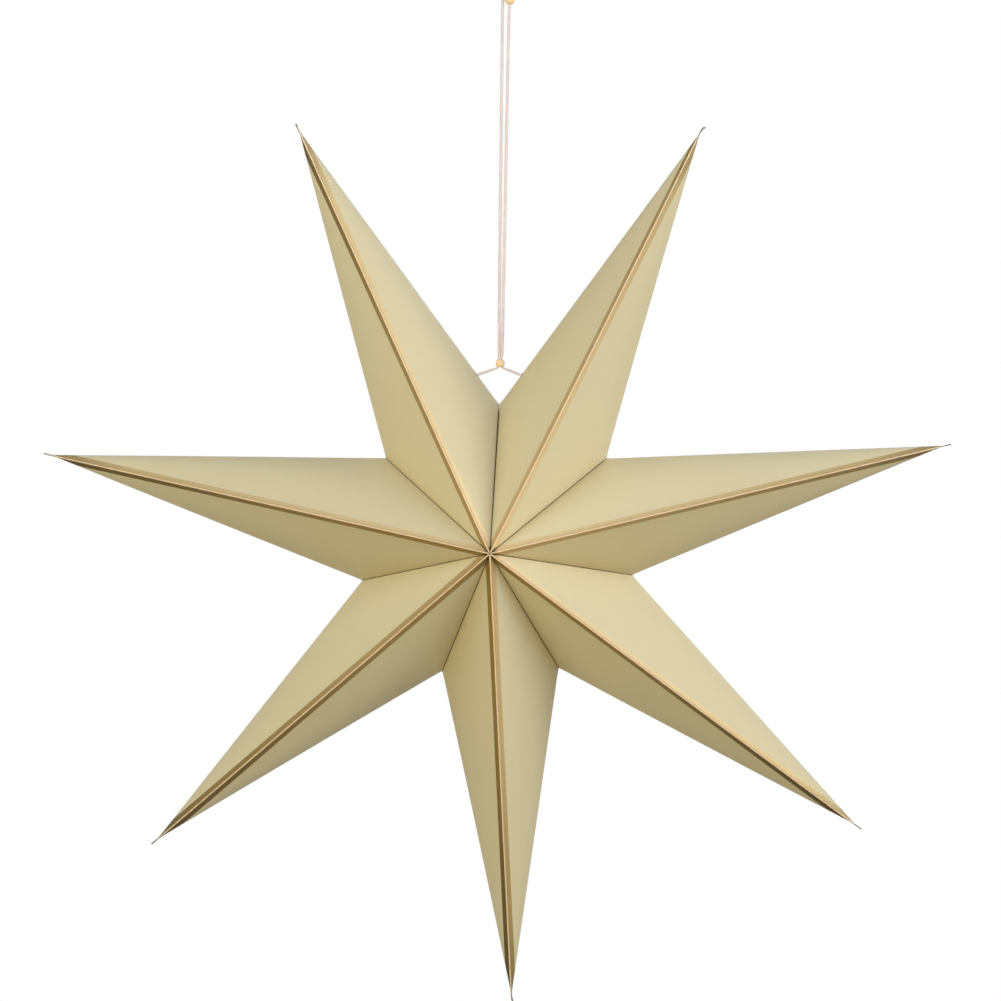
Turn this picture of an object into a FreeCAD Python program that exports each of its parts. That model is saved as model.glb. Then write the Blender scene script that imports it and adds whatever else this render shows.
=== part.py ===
import FreeCAD, Part
import math
import os

# A seven-pointed hanging star of folded card, with two wooden beads on a doubled cord.
# The origin is the crown of the hanging loop, where the hook bears. The star hangs below it
# in the XZ plane and shows its front to -Y.
# Each point is two leaves, mirror images, glued face to face along narrow outward fins.
# Neighbouring points are glued along inward flanges in the valleys between them. The top
# valley isn't glued: it is the seam that the cord draws shut.

doc = FreeCAD.newDocument("card_star")

# Driving dimensions, in millimetres and degrees
sheet = doc.addObject("Spreadsheet::Sheet", "sizes")
DIMENSIONS = [
    ("hang_drop", 455.0, "hanging loop's crown down to the star's centre"),
    ("tip_radius", 342.0, "centre to where a point's folds meet"),
    ("tail_length", 8.0, "flat glued tail beyond the folds"),
    ("notch_radius", 105.5, "centre to the valley notch on the outline"),
    ("half_depth", 88.0, "middle plane to the hub on either side"),
    ("card_thickness", 0.45, "thickness of the card"),
    ("fin_width", 2.4, "glued fin that stands out along a ridge"),
    ("flange_width", 8.0, "glued flange inside a valley"),
    ("hub_clearance", 0.3, "room left round the axis by the leaf ends"),
    ("seam_opening", 0.8, "angle by which the top seam stands open"),
    ("spread_1", 50.9, "angle taken by the first point, clockwise from the seam"),
    ("spread_2", 50.7, "angle of the second point"),
    ("spread_3", 50.5, "angle of the third point"),
    ("spread_4", 49.5, "angle of the fourth point"),
    ("spread_5", 51.5, "angle of the fifth point"),
    ("spread_6", 53.3, "angle of the sixth point, the seventh has what is left"),
    ("hole_from_notch", 27.2, "seam notch to the cord hole, along the crease"),
    ("hole_clearance", 0.3, "room between the cord and its hole, each side"),
    ("cord_diameter", 2.0, "twisted cotton cord"),
    ("strand_pitch", 2.1, "middle to middle of the strands in the star bead"),
    ("stopper_radius", 2.7, "stopper knot inside the star"),
    ("top_knot_radius", 4.5, "overhand knot under the loop"),
    ("top_knot_drop", 34.0, "loop's crown down to the knot's middle"),
    ("star_bead_diameter", 7.0, "bead that both strands go through"),
    ("star_bead_rise", 136.3, "star's centre up to the bead's middle"),
    ("top_bead_diameter", 8.0, "bead on the right strand"),
    ("top_bead_drop", 46.4, "loop's crown down to the bead's middle"),
    ("top_bead_side", 1.2, "how far the bead stands to the right"),
    ("bead_clearance", 0.1, "room between a bead's bore and the cord"),
    ("bead_rounding", 0.3, "rounded rim of a bead's bore"),
]
for row, (alias, value, note) in enumerate(DIMENSIONS, start=1):
    sheet.set(f"A{row}", alias)
    sheet.set(f"B{row}", str(value))
    sheet.set(f"C{row}", note)
    sheet.setAlias(f"B{row}", alias)
doc.recompute()

size = {alias: float(sheet.get(alias)) for alias, value, note in DIMENSIONS}
POINTS = 7
spreads = [size[f"spread_{n}"] for n in range(1, POINTS)]
spreads.append(360.0 - sum(spreads))

UP = FreeCAD.Vector(0, 0, 1)
BACK = FreeCAD.Vector(0, 1, 0)
star_centre = FreeCAD.Vector(0, 0, -size["hang_drop"])
finished = []


# Planes, each a unit normal and its distance from the origin
def plane(normal, through):
    normal = FreeCAD.Vector(normal)
    normal.normalize()
    return normal, normal.dot(through)


def moved(flat, distance):
    return flat[0], flat[1] + distance


def meet(first, second, third):
    """The point that three planes share."""
    (a, p), (b, q), (c, r) = first, second, third
    crossed = b.cross(c) * p + c.cross(a) * q + a.cross(b) * r
    return crossed * (1.0 / a.dot(b.cross(c)))


# One leaf, for a point that stands straight up, on the clockwise side of its middle plane
class LeafPlanes:
    """The planes that bound a folded leaf. Side a is the outside of the card, b the inside."""

    def __init__(self, half_angle):
        card = size["card_thickness"]
        depth = size["half_depth"]
        notch = size["notch_radius"]
        valley = FreeCAD.Vector(math.sin(half_angle), 0, math.cos(half_angle))
        tip = UP * size["tip_radius"]
        hub = {"front": BACK * -depth, "back": BACK * depth}
        out = {"front": -1, "back": 1}

        self.glue = plane(FreeCAD.Vector(1, 0, 0), FreeCAD.Vector())
        self.fin_face = moved(self.glue, card)
        across = FreeCAD.Vector(math.cos(half_angle), 0, -math.sin(half_angle))
        self.valley_glue = plane(across, FreeCAD.Vector())
        self.valley_face = moved(self.valley_glue, -card)
        self.hub_end = plane(UP, UP * (size["hub_clearance"] + card / math.sin(half_angle)))
        self.tail_end = plane(UP, tip + UP * size["tail_length"])
        self.face, self.lining, self.fin_edge, self.flange_edge = {}, {}, {}, {}
        for side, sign in out.items():
            normal = (valley * notch - tip).cross(hub[side] - tip) * sign
            self.face[side] = plane(normal, tip)
            self.lining[side] = moved(self.face[side], -card)
            ridge = (tip - hub[side]).cross(FreeCAD.Vector(1, 0, 0)) * sign
            self.fin_edge[side] = moved(plane(ridge, tip), size["fin_width"])
            gutter = (valley * notch - hub[side]).cross(across) * sign
            self.flange_edge[side] = moved(plane(gutter, hub[side]), -size["flange_width"])


def leaf_solid(half_angle):
    """The folded leaf as one solid: two facets, a fin and a flange of even thickness."""
    cut = LeafPlanes(half_angle)
    sheets = {
        "a": (cut.fin_face, cut.face, cut.valley_glue),
        "b": (cut.glue, cut.lining, cut.valley_face),
    }
    corner = {}
    for name, (fin, facet, flange) in sheets.items():
        corner["tip", name] = meet(fin, facet["front"], facet["back"])
        corner["notch", name] = meet(flange, facet["front"], facet["back"])
        corner["flange_notch", name] = meet(flange, cut.flange_edge["front"], cut.flange_edge["back"])
        for side in ("front", "back"):
            corner["ridge", side, name] = meet(fin, facet[side], cut.hub_end)
            corner["gutter", side, name] = meet(flange, facet[side], cut.hub_end)
            corner["fin", side, name] = meet(fin, cut.fin_edge[side], cut.hub_end)
            corner["tail", side, name] = meet(fin, cut.fin_edge[side], cut.tail_end)
            corner["flange", side, name] = meet(flange, cut.flange_edge[side], cut.hub_end)

    def both(label, name):
        return corner[label, "front", name], corner[label, "back", name]

    outlines = []
    for name in ("a", "b"):
        tip, notch = corner["tip", name], corner["notch", name]
        ridge, gutter = both("ridge", name), both("gutter", name)
        fin, tail, flange = both("fin", name), both("tail", name), both("flange", name)
        outlines.append([ridge[0], fin[0], tail[0], tail[1], fin[1], ridge[1], tip])
        outlines.append([gutter[0], flange[0], corner["flange_notch", name], flange[1], gutter[1], notch])
        outlines.append([ridge[0], tip, notch, gutter[0]])
        outlines.append([ridge[1], tip, notch, gutter[1]])
    for side in ("front", "back"):
        around = [corner[label, side, "a"] for label in ("fin", "ridge", "gutter", "flange")]
        around += [corner[label, side, "b"] for label in ("flange", "gutter", "ridge", "fin")]
        outlines.append(around)
        for start, end in ((("fin", side), ("tail", side)), (("flange", side), ("flange_notch",))):
            strip = [corner[(*start, "a")], corner[(*end, "a")], corner[(*end, "b")], corner[(*start, "b")]]
            outlines.append(strip)
    tails = [corner["tail", side, name] for side, name in (("front", "a"), ("back", "a"), ("back", "b"), ("front", "b"))]
    outlines.append(tails)

    faces = [Part.Face(Part.makePolygon(outline + outline[:1])) for outline in outlines]
    solid = Part.makeSolid(Part.makeShell(faces))
    if solid.Volume < 0:
        solid.reverse()
    return solid


def crease_hole(half_angle):
    """The punched hole on the crease of a leaf beside the seam, square to the crease."""
    notch = FreeCAD.Vector(math.sin(half_angle), 0, math.cos(half_angle)) * size["notch_radius"]
    along = UP * size["tip_radius"] - notch
    along.normalize()
    inward = BACK.cross(along)
    middle = notch + along * size["hole_from_notch"]
    radius = size["cord_diameter"] / 2 + size["hole_clearance"]
    reach = 2 * radius + size["card_thickness"]
    return Part.makeCylinder(radius, 2 * reach, middle - inward * reach, inward)


def add_leaf(label, direction, half_angle, clockwise, at_seam):
    """Puts one leaf in the document: direction is its point's angle, clockwise from the top."""
    solid = leaf_solid(math.radians(half_angle))
    if at_seam:
        solid = solid.cut(crease_hole(math.radians(half_angle)))
    if not clockwise:
        solid = solid.mirror(FreeCAD.Vector(), FreeCAD.Vector(1, 0, 0))
    leaf = doc.addObject("Part::Feature", label)
    leaf.Label = label
    leaf.Shape = solid
    leaf.Placement = FreeCAD.Placement(star_centre, FreeCAD.Rotation(BACK, direction))
    finished.append(leaf)


# The fourteen leaves, clockwise from the seam
edge = 0.0
for number, spread in enumerate(spreads, start=1):
    starts = edge + (size["seam_opening"] / 2 if number == 1 else 0.0)
    ends = edge + spread - (size["seam_opening"] / 2 if number == POINTS else 0.0)
    direction = edge + spread / 2
    add_leaf(f"point_{number}_leaf_a", direction, direction - starts, False, number == 1)
    add_leaf(f"point_{number}_leaf_b", direction, ends - direction, True, number == POINTS)
    edge += spread


# Wooden beads: a ball, bored and with its rims rounded
def add_bead(label, diameter, bore, position):
    ball = doc.addObject("Part::Sphere", f"{label}_ball")
    ball.setExpression("Radius", f"sizes.{diameter} / 2")
    drill = doc.addObject("Part::Cylinder", f"{label}_bore")
    drill.setExpression("Radius", bore)
    drill.setExpression("Height", f"sizes.{diameter} * 2")
    drill.setExpression("Placement.Base.z", f"-sizes.{diameter}")
    bored = doc.addObject("Part::Cut", f"{label}_bored")
    bored.Base = ball
    bored.Tool = drill
    doc.recompute()
    rims = [
        (index, size["bead_rounding"], size["bead_rounding"])
        for index, rim in enumerate(bored.Shape.Edges, start=1)
        if isinstance(rim.Curve, Part.Circle) and abs(rim.Curve.Axis.z) > 0.9
    ]
    bead = doc.addObject("Part::Fillet", label)
    bead.Label = label
    bead.Base = bored
    bead.Edges = rims
    for axis, expression in position.items():
        bead.setExpression(f"Placement.Base.{axis}", expression)
    finished.append(bead)


add_bead(
    "star_bead",
    "star_bead_diameter",
    "(sizes.strand_pitch + sizes.cord_diameter) / 2 + sizes.bead_clearance",
    {"z": "sizes.star_bead_rise - sizes.hang_drop"},
)
add_bead(
    "top_bead",
    "top_bead_diameter",
    "sizes.cord_diameter / 2 + sizes.bead_clearance",
    {"x": "sizes.top_bead_side", "z": "-sizes.top_bead_drop"},
)


# The cord: its route's points, the lower ones from the star's centre and the upper from the loop
def from_star(x, z):
    return FreeCAD.Vector(x, 0, z) + star_centre


def from_loop(x, z):
    return FreeCAD.Vector(x, 0, z)


route = [
    from_star(-20.45, 124.65),
    from_star(-17.3, 127.1),
    from_star(-10.8, 129.35),
    from_star(-4.6, 131.65),
    from_star(-1.05, 133.1),
    from_star(-1.15, 137.4),
    from_loop(-4.05, -59.0),
    from_loop(-4.3, -46.5),
    from_loop(-1.3, -34.5),
    from_loop(-7.2, -16.0),
    from_loop(-7.5, 1.1),
    from_loop(7.5, 1.1),
    from_loop(7.2, -16.0),
    from_loop(1.3, -34.5),
    from_loop(1.15, -48.5),
    from_star(1.1, 137.4),
    from_star(1.05, 133.1),
    from_star(4.6, 131.8),
    from_star(10.4, 129.7),
    from_star(16.6, 127.5),
    from_star(19.85, 125.25),
]
BEND_SHARE = 0.45


def cord_path(points):
    """Straight runs joined by arcs that touch both, each as large as its shorter run allows."""
    edges = []
    start = points[0]
    for before, point, after in zip(points, points[1:], points[2:]):
        arriving, leaving = point - before, after - point
        half_turn = arriving.getAngle(leaving) / 2
        reach = BEND_SHARE * min(arriving.Length, leaving.Length)
        radius = reach / math.tan(half_turn)
        arriving.normalize()
        leaving.normalize()
        first, last = point - arriving * reach, point + leaving * reach
        inside = leaving - arriving
        inside.normalize()
        middle = point + inside * (radius / math.cos(half_turn) - radius)
        edges.append(Part.LineSegment(start, first).toShape())
        edges.append(Part.Arc(first, middle, last).toShape())
        turn = math.degrees(2 * half_turn)
        print(f"cord bend at {point.x:6.1f} {point.z:7.1f}: radius {radius:7.2f}, turn {turn:5.1f}")
        start = last
    edges.append(Part.LineSegment(start, points[-1]).toShape())
    return Part.Wire(edges)


path = cord_path(route)
cord_radius = size["cord_diameter"] / 2
section = Part.Wire(Part.makeCircle(cord_radius, route[0], route[1] - route[0]))
tube = path.makePipeShell([section], True, False)
expected = math.pi * cord_radius**2 * path.Length
print(f"cord length {path.Length:.1f}, volume {tube.Volume:.1f}, section times length {expected:.1f}")

knots = [
    Part.makeSphere(size["stopper_radius"], route[0]),
    Part.makeSphere(size["stopper_radius"], route[-1]),
    Part.makeSphere(size["top_knot_radius"], from_loop(0, -size["top_knot_drop"])),
]
cord = doc.addObject("Part::Feature", "hanging_cord")
cord.Label = "hanging_cord"
cord.Shape = tube.fuse(knots)
finished.append(cord)

# Every object is checked before anything is written
doc.recompute()
for item in doc.Objects:
    if "Invalid" in item.State or "Error" in item.State:
        raise RuntimeError(f"{item.Label} failed: {item.State}")
for item in finished:
    if item.Shape.isNull() or not item.Shape.isValid():
        raise RuntimeError(f"{item.Label} has no valid shape")
    print(f"{item.Label}: {len(item.Shape.Solids)} solid, {item.Shape.Volume:.1f} mm3")

os.makedirs("parts", exist_ok=True)
for item in finished:
    item.Shape.exportStep(f"parts/{item.Label}.step")
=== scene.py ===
"""Looks for a hanging seven-pointed star of creased card, its cord and its wooden beads."""

import logging
import math
from dataclasses import dataclass, field
from enum import Enum

import bmesh
import bpy
import numpy as np
from mathutils import Matrix, Vector

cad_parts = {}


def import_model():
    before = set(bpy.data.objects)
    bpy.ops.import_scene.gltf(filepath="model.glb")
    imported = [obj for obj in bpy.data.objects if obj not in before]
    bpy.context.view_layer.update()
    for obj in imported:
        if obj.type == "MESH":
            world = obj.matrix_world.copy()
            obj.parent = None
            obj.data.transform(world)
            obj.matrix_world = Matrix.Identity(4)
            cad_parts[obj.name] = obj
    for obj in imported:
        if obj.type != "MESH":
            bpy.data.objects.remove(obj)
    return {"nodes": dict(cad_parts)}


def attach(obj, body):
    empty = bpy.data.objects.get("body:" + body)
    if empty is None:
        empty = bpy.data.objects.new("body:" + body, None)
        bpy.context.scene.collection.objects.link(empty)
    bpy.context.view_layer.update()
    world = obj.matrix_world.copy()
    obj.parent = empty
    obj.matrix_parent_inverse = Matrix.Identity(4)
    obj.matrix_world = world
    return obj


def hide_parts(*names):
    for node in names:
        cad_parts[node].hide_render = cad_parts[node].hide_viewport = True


log = logging.getLogger("hanging_star")
ROOT_BODY = "root"
Colour = tuple[float, float, float]
Pair = tuple[float, float]
Ends = tuple[np.ndarray, np.ndarray]
Material, Piece = bpy.types.Material, bpy.types.Object
Node, Socket, Tree = bpy.types.Node, bpy.types.NodeSocket, bpy.types.NodeTree
BUMP_DISTANCE = 0.0002
MOST_OF_AN_ARM = 0.45


def srgb(red: int, green: int, blue: int) -> Colour:
    """Turns a screen colour into the linear colour that a shader takes.

    Args:
        red: Red from 0 to 255.
        green: Green from 0 to 255.
        blue: Blue from 0 to 255.

    Returns:
        The linear colour, each part from 0 to 1.
    """
    parts = np.array([red, green, blue]) / 255.0
    linear = np.where(parts <= 0.04045, parts / 12.92, ((parts + 0.055) / 1.055) ** 2.4)
    return tuple(float(part) for part in linear)


class Face(Enum):
    """Which material slot of a leaf a face takes."""

    PRINTED = 0
    INSIDE = 1
    CUT_EDGE = 2


class Side(Enum):
    """The front or the back half of a leaf, by the sign of its depth axis."""

    FRONT = -1.0
    BACK = 1.0


@dataclass(frozen=True)
class StarSizes:
    """The star's sizes in metres and degrees, as the frame has them."""

    hang_drop: float = 0.455
    tip_radius: float = 0.346
    tail_length: float = 0.004
    notch_radius: float = 0.1055
    half_depth: float = 0.088
    card: float = 0.00045
    fin_width: float = 0.0024
    flange_width: float = 0.008
    hub_clearance: float = 0.0003
    seam_opening: float = 0.35
    hole_from_notch: float = 0.0279
    crest_depth: float = 0.0901
    spreads: tuple[float, ...] = (50.9, 50.7, 50.5, 49.5, 51.5, 53.3, 53.6)

    @property
    def centre(self) -> Vector:
        """Where the star's middle is in the frame."""
        return Vector((0.0, 0.0, -self.hang_drop))

    def cord_holes(self) -> tuple[Vector, Vector]:
        """Where the cord goes through the outer creases of the two leaves beside the open seam."""
        found = []
        notch = Vector((0.0, 0.0, self.notch_radius))
        for spread in (self.spreads[0], -self.spreads[-1]):
            turn = math.radians(spread / 2)
            tip = self.tip_radius * Vector((math.sin(turn), 0.0, math.cos(turn)))
            found.append(self.centre + notch + (tip - notch).normalized() * self.hole_from_notch)
        return found[0], found[1]


Plane = tuple[np.ndarray, float]


def plane(normal: np.ndarray, through: np.ndarray) -> Plane:
    """A plane as its unit normal and its distance from the origin.

    Args:
        normal: Any vector square to the plane.
        through: A point of the plane.

    Returns:
        The unit normal and the distance along it.
    """
    unit = normal / np.linalg.norm(normal)
    return unit, float(unit @ through)


def moved(flat: Plane, distance: float) -> Plane:
    """The same plane, moved along its normal by distance."""
    return flat[0], flat[1] + distance


def meet(*planes: Plane) -> np.ndarray:
    """The point that three planes share."""
    return np.linalg.solve(np.array([p[0] for p in planes]), np.array([p[1] for p in planes]))


@dataclass(frozen=True)
class SheetCorners:
    """The corners of one face of a folded leaf, for one half of it, before its folds are rounded."""

    tip: np.ndarray
    notch: np.ndarray
    ridge: np.ndarray
    gutter: np.ndarray
    fin: np.ndarray
    tail: np.ndarray
    flange: np.ndarray
    flange_notch: np.ndarray
    out: np.ndarray


@dataclass(frozen=True)
class LeafFold:
    """Works out a leaf's corners from the planes that bound it, for a point that stands straight up."""

    sizes: StarSizes
    half_angle: float

    def corners(self, side: Side, lining: bool) -> SheetCorners:
        """The corners of the printed face, or of the lining one card's thickness behind it.

        Args:
            side: The front or the back half of the leaf.
            lining: True for the inside of the card.

        Returns:
            The corners in the point's own frame, its middle plane at x = 0.
        """
        s, sign = self.sizes, side.value
        sine, cosine = math.sin(self.half_angle), math.cos(self.half_angle)
        valley = np.array([sine, 0.0, cosine])
        up, across = np.array([0.0, 0.0, 1.0]), np.array([cosine, 0.0, -sine])
        middle = np.array([1.0, 0.0, 0.0])
        tip, notch = up * s.tip_radius, valley * s.notch_radius
        zero = np.zeros(3)
        near = plane(up, up * s.hub_clearance)
        fin_end = near if lining else moved(near, s.card * cosine / sine)
        flange_end = moved(near, s.card / sine) if lining else near
        tail_end = plane(up, tip + up * s.tail_length)

        def facet(which: float) -> Plane:
            """The facet's plane on one side, given the sign of its depth."""
            hub = np.array([0.0, which * s.half_depth, 0.0])
            flat = plane(np.cross(notch - tip, hub - tip) * which, tip)
            return moved(flat, -s.card) if lining else flat

        def edge(which: float, along: np.ndarray, width: float, through: np.ndarray) -> Plane:
            """The edge plane of a fin or flange."""
            return moved(plane(along * which, through), width)

        hub = np.array([0.0, sign * s.half_depth, 0.0])
        other = np.array([0.0, -sign * s.half_depth, 0.0])
        fin_face = plane(middle, zero if lining else middle * s.card)
        flange_face = moved(plane(across, zero), -s.card if lining else 0.0)
        fin_edge = edge(sign, np.cross(tip - hub, middle), s.fin_width, tip)
        flange_edge = edge(sign, np.cross(notch - hub, across), -s.flange_width, hub)
        other_edge = edge(-sign, np.cross(notch - other, across), -s.flange_width, other)
        own, opposite = facet(sign), facet(-sign)
        return SheetCorners(
            tip=meet(fin_face, own, opposite),
            notch=meet(flange_face, own, opposite),
            ridge=meet(fin_face, own, fin_end),
            gutter=meet(flange_face, own, flange_end),
            fin=meet(fin_face, fin_edge, fin_end),
            tail=meet(fin_face, fin_edge, tail_end),
            flange=meet(flange_face, flange_edge, flange_end),
            flange_notch=meet(flange_face, flange_edge, other_edge),
            out=own[0],
        )


def between(start: np.ndarray, end: np.ndarray, share: np.ndarray) -> np.ndarray:
    """Points at the given shares of the way from start to end, one row each."""
    return start + (end - start) * share[:, None]


def rounded(
    before: np.ndarray, corner: np.ndarray, after: np.ndarray, reach: np.ndarray, steps: int
) -> np.ndarray:
    """Rounds one corner of many three-point lines with a quadratic curve.

    The curve is (1 - t)^2 start + 2 t (1 - t) corner + t^2 end, where start and end lie on the
    two arms, a reach away from the corner but never past 0.45 of an arm.

    Args:
        before: The end of each line's first arm, an array of rows.
        corner: Each line's corner.
        after: The end of each line's second arm.
        reach: How far the rounding reaches along the arms, one value a row.
        steps: How many points the curve gets.

    Returns:
        An array of rows by steps by 3.
    """
    arms = (before - corner, after - corner)
    longs = [np.linalg.norm(arm, axis=1) for arm in arms]
    used = np.minimum(reach, MOST_OF_AN_ARM * np.minimum(*longs))
    shares = [(used / np.maximum(long, 1e-12))[:, None] for long in longs]
    start, end = (corner + arm * share for arm, share in zip(arms, shares))
    t = np.linspace(0.0, 1.0, steps)[None, :, None]
    return (1 - t) ** 2 * start[:, None] + 2 * t * (1 - t) * corner[:, None] + t**2 * end[:, None]


@dataclass(frozen=True)
class CardBend:
    """How the card departs from flat facets: rounded folds, and a belly that is fullest near the valley."""

    fold_reach: float = 0.0007
    fade: float = 0.006
    full_width: float = 0.05
    skew: float = 1.8
    belly: float = 0.0013
    fuller: float = 0.0022
    fuller_leaves: tuple[str, ...] = ("2a", "4a", "5a", "6b", "7b")
    outline: float = 0.0002
    outlines: tuple[tuple[str, float], ...] = (
        ("1b", -0.001),
        ("5a", -0.0004),
        ("2b", -0.0003),
        ("4b", -0.0003),
    )
    leans: tuple[float, ...] = (-0.0026, -0.0006, -0.0011, -0.0003, 0.0005, 0.0, 0.0)
    tail_twists: tuple[float, ...] = (0.35, 0.1, 0.2, 0.35, 0.2, 0.0, 0.2)
    tail_curls: tuple[float, ...] = (0.0016, 0.0002, 0.0, -0.0008, 0.0003, 0.0003, 0.0002)

    def lift(self, v: np.ndarray, width: np.ndarray, fuller: bool) -> np.ndarray:
        """How far the facet stands off its plane.

        The lift is belly * (width / full width) * v^skew (1 - v), scaled so that its peak is 1.

        Args:
            v: Shares across the facet, from the ridge to the outer edge.
            width: The facet's width at each row.
            fuller: True for the leaves that belly out more.

        Returns:
            Rows by columns, in metres.
        """
        peak = self.skew / (1 + self.skew)
        shape = v**self.skew * (1 - v) / (peak**self.skew * (1 - peak))
        return (self.fuller if fuller else self.belly) * (width / self.full_width)[:, None] * shape[None, :]


def new_object(name: str, data: bpy.types.ID) -> Piece:
    """Makes an object with the given data and links it to the scene."""
    made = bpy.data.objects.new(name, data)
    bpy.context.scene.collection.objects.link(made)
    return made


def points_of(mesh: bpy.types.Mesh) -> np.ndarray:
    """The mesh's points, one row each."""
    flat = np.empty(len(mesh.vertices) * 3, dtype=np.float32)
    mesh.vertices.foreach_get("co", flat)
    return flat.reshape(-1, 3).astype(float)


@dataclass
class MeshParts:
    """Grids of points gathered into one mesh."""

    points: list[np.ndarray] = field(default_factory=list)
    faces: list[np.ndarray] = field(default_factory=list)
    slots: list[np.ndarray] = field(default_factory=list)
    count: int = 0

    def add_grid(self, grid: np.ndarray, flip: bool, face: Face) -> None:
        """Adds a grid of points as quads.

        Args:
            grid: Rows by columns by 3.
            flip: True to turn the faces round.
            face: The material slot.
        """
        rows, columns = grid.shape[:2]
        index = self.count + np.arange(rows * columns).reshape(rows, columns)
        corners = [index[:-1, :-1], index[1:, :-1], index[1:, 1:], index[:-1, 1:]]
        quads = np.stack(corners, axis=-1).reshape(-1, 4)
        self.points.append(grid.reshape(-1, 3))
        self.faces.append(quads[:, ::-1] if flip else quads)
        self.slots.append(np.full(len(quads), face.value))
        self.count += rows * columns

    def build(self, name: str, weld: float = 1e-7) -> Piece:
        """Makes the object, with points closer than weld joined.

        Args:
            name: The piece's name.
            weld: How near two points are one, in metres.

        Returns:
            The new object, linked to the scene.
        """
        mesh = bpy.data.meshes.new(name)
        mesh.from_pydata(np.concatenate(self.points), [], np.concatenate(self.faces))
        mesh.polygons.foreach_set("material_index", np.concatenate(self.slots))
        shape = bmesh.new()
        shape.from_mesh(mesh)
        bmesh.ops.remove_doubles(shape, verts=shape.verts, dist=weld)
        bmesh.ops.dissolve_degenerate(shape, edges=shape.edges, dist=weld)
        shape.to_mesh(mesh)
        shape.free()
        return new_object(name, mesh)


def shade_smooth(piece: Piece) -> None:
    """Shades every face of a piece smooth."""
    faces = piece.data.polygons
    faces.foreach_set("use_smooth", np.ones(len(faces), dtype=bool))


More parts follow.
